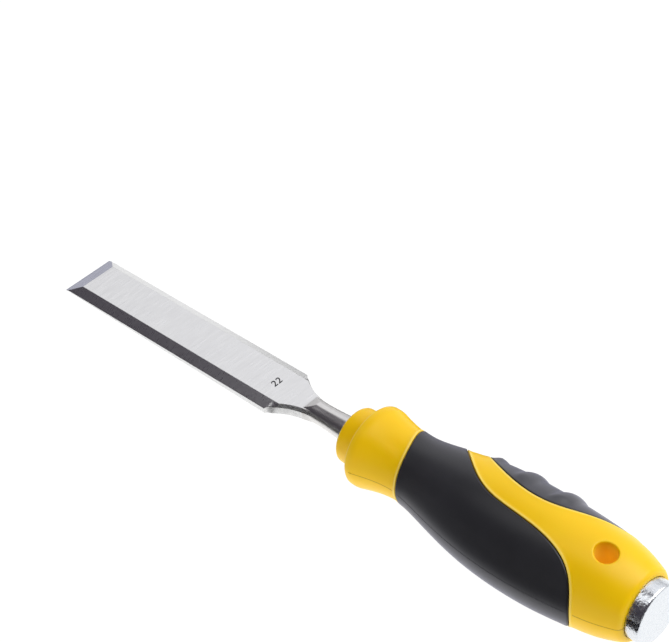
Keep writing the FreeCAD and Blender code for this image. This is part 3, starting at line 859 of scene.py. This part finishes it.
def makeCore():
    c = core
    gap, wallRun, size = handle["halfGap"], handle["wallRun"], c["edgeRounding"]
    beyond = [gap + step for step in edgeSteps(size)] + [gap + size + extra for extra in c["lipRows"]]
    rows, lines = [], []
    for grip in grips.values():
        for line, side in grip["lines"]:
            lines.append(line)
            rows += [(besideLine(line, -side * distance), False) for distance in beyond]
            rows.append((besideLine(line, -side * (gap - wallRun)), False))
    roundHole = edgeSteps(c["holeRounding"]) + [c["holeRounding"] + extra for extra in c["holeRows"]]
    rows += [(holeRing(distance), True) for distance in roundHole]
    depth = np.maximum(depthInto("sleeve", allFill), depthInto("pad", allFill))
    border = (allFill[:, 0] < handle["formStart"] + 0.01) | (allFill[:, 0] > handle["formEnd"] - 0.01)
    # even spots keep off the rows beside an outline or the hole
    margin = 0.4 * handle["cellSize"]
    clear = border | (distanceTo(allFill, lines) > beyond[-1] + margin) | (depth > 0.7)
    clear &= holeDistance(allFill) > roundHole[-1] + margin
    spots, faces = triangulate(rows, allFill[clear])
    depth = np.maximum(depthInto("sleeve", spots), depthInto("pad", spots))
    away = -depth - gap
    lip = np.clip(1 - away / c["lipWidth"], 0, 1)
    lip = lip * lip * (3 - 2 * lip)
    fade = np.clip((spots[:, 0] - handle["formStart"]) / 2, 0, 1)
    lift = c["lipHeight"] * lip * fade - edgeFall(away, size)
    lift -= edgeFall(holeDistance(spots), c["holeRounding"])
    seated = depth > -gap + wallRun / 2
    lift = np.where(seated, -handle["gripWall"], lift)
    points = onForm(spots[:, 0], spots[:, 1], lift)
    # painted highlight: a pale band along the lip beside each grip, where its rounding catches the light
    inset, reach = c["lipHighlightPlace"]
    lipShine = np.where(seated, 0.0, np.clip(1 - np.abs(away - inset) / reach, 0, 1))
    centres = np.array([spots[list(face)].mean(axis=0) for face in faces])
    faces = [face for face, distance in zip(faces, holeDistance(centres)) if distance > 0]
    points, marks, inHole = [tuple(point) for point in points], list(lipShine), [0.0] * len(points)
    # wall of the hanging hole, straight down from its rim to the parting plane
    rim = np.flatnonzero(np.abs(holeDistance(spots)) < 0.02)
    order = sorted(rim, key=lambda i: np.arctan2(points[i][1] - holePlace[1], points[i][0] - holePlace[0]))
    previous = order
    for share in np.linspace(0, 1, c["holeSteps"] + 1)[1:]:
        start = len(points)
        for i in order:
            x, y, z = points[i]
            points.append((x, y, z + (axisHeight - z) * share))
        current = list(range(start, start + len(order)))
        for k in range(len(order)):
            n = (k + 1) % len(order)
            faces.append((previous[k], previous[n], current[n], current[k]))
        marks += [0.0] * len(order)
        # how far down the hole's wall, where the plastic paints its paler colour and glow
        inHole += [min(1.0, 3 * share)] * len(order)
        previous = current
    for profile in (noseProfile(), buttProfile()):
        halfTurned(profile, points, faces, marks)
    inHole += [0.0] * (len(points) - len(inHole))
    points, faces = mirrored(points, faces)
    piece = makePiece("handleCore", points, faces, [yellowPlastic],
                      marks={"edgeHighlight": marks * 2, "insideHole": inHole * 2})
    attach(piece, "root")
    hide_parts("handle_core")


makeCore()
print("core ready")

# Grips: rubber moulded into the core's seats, standing slightly proud, with a rolled edge
sleeve = {"grip": "sleeve", "proud": 0.32, "edgeRounding": 0.45, "ridges": (), "edgeShade": 0.7}
pad = {
    "grip": "pad", "proud": 0.1, "edgeRounding": 0.35, "edgeShade": 0.7,
    "ridges": ((193.0, 18.20), (208.2, 19.72), (223.2, 20.07)),  # each ridge's place and crest radius
    "ridgeBend": 6.0, "ridgeMargin": 4.0, "ridgePassage": 0.5,
}


def gripLift(settings, spots, depth):
    x = spots[:, 0]
    lift = np.full(len(spots), settings["proud"])
    for place, crest in settings["ridges"]:
        arm = np.clip(settings["ridgeBend"] ** 2 - (x - place) ** 2, 0, None)
        ridge = crest - settings["ridgeBend"] + np.sqrt(arm) - formRadius(x)
        passage = settings["ridgePassage"]
        near = np.clip(passage - np.abs(lift - ridge), 0, None) / passage
        raised = np.maximum(lift, ridge) + near * near * passage / 4
        share = np.clip(depth / settings["ridgeMargin"], 0, 1)
        lift = lift + (raised - lift) * share * share * (3 - 2 * share)
    return lift - edgeFall(depth - handle["halfGap"], settings["edgeRounding"])


def makeGrip(name, settings, node, rubber):
    gap, wallRun, size = handle["halfGap"], handle["wallRun"], settings["edgeRounding"]
    within = [gap + step for step in edgeSteps(size)] + [gap + size + extra for extra in (0.35, 0.9)]
    grip = grips[settings["grip"]]
    rows = [(besideLine(line, side * (gap - wallRun)), False) for line, side in grip["lines"]]
    outer = np.vstack((rows[0][0], rows[1][0][::-1])) if len(rows) > 1 else rows[0][0]
    rows += [(besideLine(line, side * distance), False)
             for line, side in grip["lines"] for distance in within]
    depth = depthInto(settings["grip"], allFill)
    spots, faces = triangulate(rows, allFill[depth > within[-1] + 0.4 * handle["cellSize"]])
    centres = np.array([spots[list(face)].mean(axis=0) for face in faces])
    faces = [face for face, inside in zip(faces, insideLoop(centres, outer)) if inside]
    depth = depthInto(settings["grip"], spots)
    rim = depth < gap - wallRun / 2
    underside = handle["underGap"] - handle["gripWall"]
    lift = np.where(rim, underside, gripLift(settings, spots, depth))
    top = onForm(spots[:, 0], spots[:, 1], lift)
    under = onForm(spots[:, 0], spots[:, 1], np.full(len(spots), underside))
    keep = sorted(set(i for face in faces for i in face))
    index = {old: new for new, old in enumerate(keep)}
    points = np.vstack((top[keep], under[keep]))
    shade = np.clip(1 - (depth[keep] - gap) / settings["edgeShade"], 0, 1)
    upper = [tuple(index[i] for i in face) for face in faces]
    lower = [tuple(i + len(keep) for i in reversed(face)) for face in upper]
    points, faces = mirrored(points, upper + lower)
    piece = makePiece(name, points, faces, [rubber], marks={"nearEdge": np.tile(shade, 4)})
    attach(piece, "root")
    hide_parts(node)


makeGrip("gripSleeve", sleeve, "grip_sleeve", blackRubber)
makeGrip("fingerPad", pad, "finger_pad", litPadRubber)
print("grips ready")


# Geometry node trees: the named inputs, then the nodes
def newGeometryTree(name, inputs):
    tree = bpy.data.node_groups.new(name, "GeometryNodeTree")
    tree.interface.new_socket(name="Geometry", in_out="INPUT", socket_type="NodeSocketGeometry")
    tree.interface.new_socket(name="Geometry", in_out="OUTPUT", socket_type="NodeSocketGeometry")
    for inputName, (kind, value) in inputs.items():
        socket = tree.interface.new_socket(name=inputName, in_out="INPUT", socket_type=kind)
        socket.default_value = value
    return tree, addNode(tree, "NodeGroupInput")


# Runs a tree on an object and keeps the result as a plain mesh object
def grownPiece(name, tree, values, source=None):
    carrier = inScene(bpy.data.objects.new(name, source or bpy.data.meshes.new(name)))
    modifier = carrier.modifiers.new("grow", "NODES")
    modifier.node_group = tree
    for item in tree.interface.items_tree:
        if item.item_type == "SOCKET" and item.in_out == "INPUT" and item.name in values:
            modifier[item.identifier] = values[item.name]
    mesh = plainMesh(carrier)
    carrier.modifiers.remove(modifier)
    carrier.data = mesh
    mesh.name = name
    print(name, len(mesh.polygons), "faces")
    return carrier


# Striking cap: a turned head. The tree draws its half outline, rounds the rim and turns it about the
# handle axis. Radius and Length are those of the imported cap, from its seat in the core.
seatPlace = core["buttEnd"] - core["seatDepth"]
cap = {
    "Radius": (capHigh.y - capLow.y) / 2, "Length": capHigh.x - seatPlace, "Rim rounding": 1.0,
    "Spigot radius": 4.6, "Spigot length": 7.0,
}
capTurns = 144


def makeCap():
    floats = {key: ("NodeSocketFloat", value) for key, value in cap.items()}
    tree, given = newGeometryTree("turnedCap", floats)
    read = given.outputs
    behind = addNode(tree, "ShaderNodeMath", {0: 0.0, 1: read["Spigot length"]}, operation="SUBTRACT")
    # the straight runs end a little before the rounding
    inner, lower = [addNode(tree, "ShaderNodeMath", {
        0: read["Rim rounding"], 1: -2.2, 2: read[whole]}, operation="MULTIPLY_ADD")
        for whole in ("Radius", "Length")]
    rim = (read["Length"], read["Radius"])
    corners = [(behind, 0.0), (behind, read["Spigot radius"]), (0.0, read["Spigot radius"]),
               (0.0, read["Radius"]), (lower, read["Radius"]), rim, (read["Length"], inner),
               (read["Length"], 0.0)]
    # points on a line, moved one by one to the corners of the half outline
    line = addNode(tree, "GeometryNodeMeshLine", {"Count": len(corners)})
    shape = line
    for number, (along, out) in enumerate(corners):
        down = addNode(tree, "ShaderNodeMath", {0: along, 1: -1.0}, operation="MULTIPLY")
        place = addNode(tree, "ShaderNodeCombineXYZ", {"X": out, "Y": down})
        index = addNode(tree, "GeometryNodeInputIndex")
        chosen = addNode(tree, "FunctionNodeCompare", {
            2: index, 3: number}, data_type="INT", operation="EQUAL")
        shape = addNode(tree, "GeometryNodeSetPosition", {
            "Geometry": shape, "Selection": chosen, "Position": place})
    outline = addNode(tree, "GeometryNodeMeshToCurve", {"Mesh": shape})
    index = addNode(tree, "GeometryNodeInputIndex")
    isRim = addNode(tree, "FunctionNodeCompare", {
        2: index, 3: corners.index(rim)}, data_type="INT", operation="EQUAL")
    rimSize = addNode(tree, "ShaderNodeMath", {0: isRim, 1: read["Rim rounding"]}, operation="MULTIPLY")
    rounded = addNode(tree, "GeometryNodeFilletCurve", {
        "Curve": outline, "Radius": rimSize, "Count": 8}, mode="POLY")
    axis = addNode(tree, "GeometryNodeCurvePrimitiveCircle", {"Resolution": capTurns, "Radius": 0.00001})
    turned = addNode(tree, "GeometryNodeCurveToMesh", {"Curve": axis, "Profile Curve": rounded})
    welded = addNode(tree, "GeometryNodeMergeByDistance", {"Geometry": turned, "Distance": 0.001})
    smooth = addNode(tree, "GeometryNodeSetShadeSmooth", {"Geometry": welded})
    placed = addNode(tree, "GeometryNodeRealizeInstances", {"Geometry": smooth})
    finished = addNode(tree, "GeometryNodeSetMaterial", {"Geometry": placed, "Material": platedSteel})
    addNode(tree, "NodeGroupOutput", {0: finished})
    piece = grownPiece("strikingCap", tree, cap)
    # from the tree's upright axis in millimetres to the handle axis in metres
    toHandle = Matrix.Translation(Vector((seatPlace, (capLow.y + capHigh.y) / 2, axisHeight)) * mm)
    piece.data.transform(toHandle @ Matrix.Rotation(radians(90), 4, "Y") @ Matrix.Scale(mm, 4))
    cleanMesh(piece.data, 1e-6, 1e-7)  # within a micrometre, as the turning axis is 0.01 micrometres wide
    piece.data.set_sharp_from_angle(angle=radians(50))
    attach(piece, "root")
    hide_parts("striking_cap")


makeCap()
print("cap ready")

# Parting seams: the fine flash left where the mould halves met, swept by a node tree along the handle's
# profile
seam = {"Radius": 0.13, "Sides": 8}
seamStep, seamEnd = 0.7, 259.0
lipClear = 1.2  # how far each seam stops short of a grip's outline


def makeSeam(name, runs, lift, material):
    tree, given = newGeometryTree(name + "Sweep", {
        "Radius": ("NodeSocketFloat", seam["Radius"]), "Sides": ("NodeSocketInt", seam["Sides"])})
    path = addNode(tree, "GeometryNodeMeshToCurve", {"Mesh": given.outputs["Geometry"]})
    profile = addNode(tree, "GeometryNodeCurvePrimitiveCircle", {
        "Resolution": given.outputs["Sides"], "Radius": given.outputs["Radius"]})
    swept = addNode(tree, "GeometryNodeCurveToMesh", {
        "Curve": path, "Profile Curve": profile, "Fill Caps": True})
    smooth = addNode(tree, "GeometryNodeSetShadeSmooth", {"Geometry": swept})
    placed = addNode(tree, "GeometryNodeRealizeInstances", {"Geometry": smooth})
    finished = addNode(tree, "GeometryNodeSetMaterial", {"Geometry": placed, "Material": material})
    addNode(tree, "NodeGroupOutput", {0: finished})
    points, edges = [], []
    for start, end, side in runs:
        first = len(points)
        profileSpots = []
        for x in np.linspace(start, end, max(4, int((end - start) / seamStep))):
            inside = max(x, handle["stations"][0][0])
            profileSpots.append((x, float(formLean(inside)), float(formRadius(inside))))
        if end == seamEnd:
            profileSpots += [(x, float(formLean(x)), radius) for x, radius in buttProfile()[:8]]
        points += [(x, lean + side * (radius + lift), axisHeight) for x, lean, radius in profileSpots]
        edges += [(i, i + 1) for i in range(first, len(points) - 1)]
    route = bpy.data.meshes.new(name + "Route")
    route.from_pydata(points, edges, [])
    piece = grownPiece(name, tree, seam, route)
    piece.data.transform(Matrix.Scale(mm, 4))
    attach(piece, "root")


# Each run: where it starts and ends, and its side
makeSeam("partingSeam", [
    (core["collarEnd"], frontLine[0, 0] - lipClear, 1),
    (core["collarEnd"], frontLine[-1, 0] - lipClear, -1),
    (rearLine[0, 0] + lipClear, padLine[0, 0] - lipClear, 1),
    (padLine[-1, 0] + lipClear, seamEnd, 1),
    (rearLine[-1, 0] + lipClear, seamEnd, -1)], -0.05, shadedSeamPlastic)
makeSeam("gripSeam", [
    (frontLine[0, 0] + lipClear, rearLine[0, 0] - lipClear, 1),
    (frontLine[-1, 0] + lipClear, rearLine[-1, 0] - lipClear, -1)],
    sleeve["proud"] - 0.06, blackRubber)
print("seams ready")

# Size mark: the blade's width in millimetres, pad-printed across the face near the shoulder
sizeMark = {
    "text": "22", "height": 3.0, "place": (101.8, -0.2), "slant": 0.25, "thickness": 0.02,
    "weight": 0.06, "spacing": 1.06, "sizePerHeight": 1.38, "overFace": 0.004,
}


def makeSizeMark():
    curve = bpy.data.curves.new("sizeMark", "FONT")
    curve.body, curve.align_x, curve.align_y = sizeMark["text"], "CENTER", "CENTER"
    curve.size, curve.shear = sizeMark["height"] * sizeMark["sizePerHeight"], sizeMark["slant"]
    curve.extrude = sizeMark["thickness"] / 2
    curve.offset, curve.space_character = sizeMark["weight"], sizeMark["spacing"]
    letters = inScene(bpy.data.objects.new("sizeMarkText", curve))
    mesh = plainMesh(letters)
    bpy.data.objects.remove(letters)
    x, y = sizeMark["place"]
    z = bladeSection(x)[-1].y + sizeMark["overFace"]
    tilt = (blade["shoulderThickness"] - blade["edgeThickness"]) / blade["length"]
    turn = Matrix.Rotation(-tilt, 4, "Y") @ Matrix.Rotation(radians(90), 4, "Z")
    mesh.transform(Matrix.Translation(Vector((x, y, z)) * mm) @ turn @ Matrix.Scale(mm, 4))
    mesh.materials.clear()
    mesh.materials.append(printInk)
    cleanMesh(mesh, 1e-7)
    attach(inScene(bpy.data.objects.new("sizeMark", mesh)), "root")


makeSizeMark()
print("marks ready")
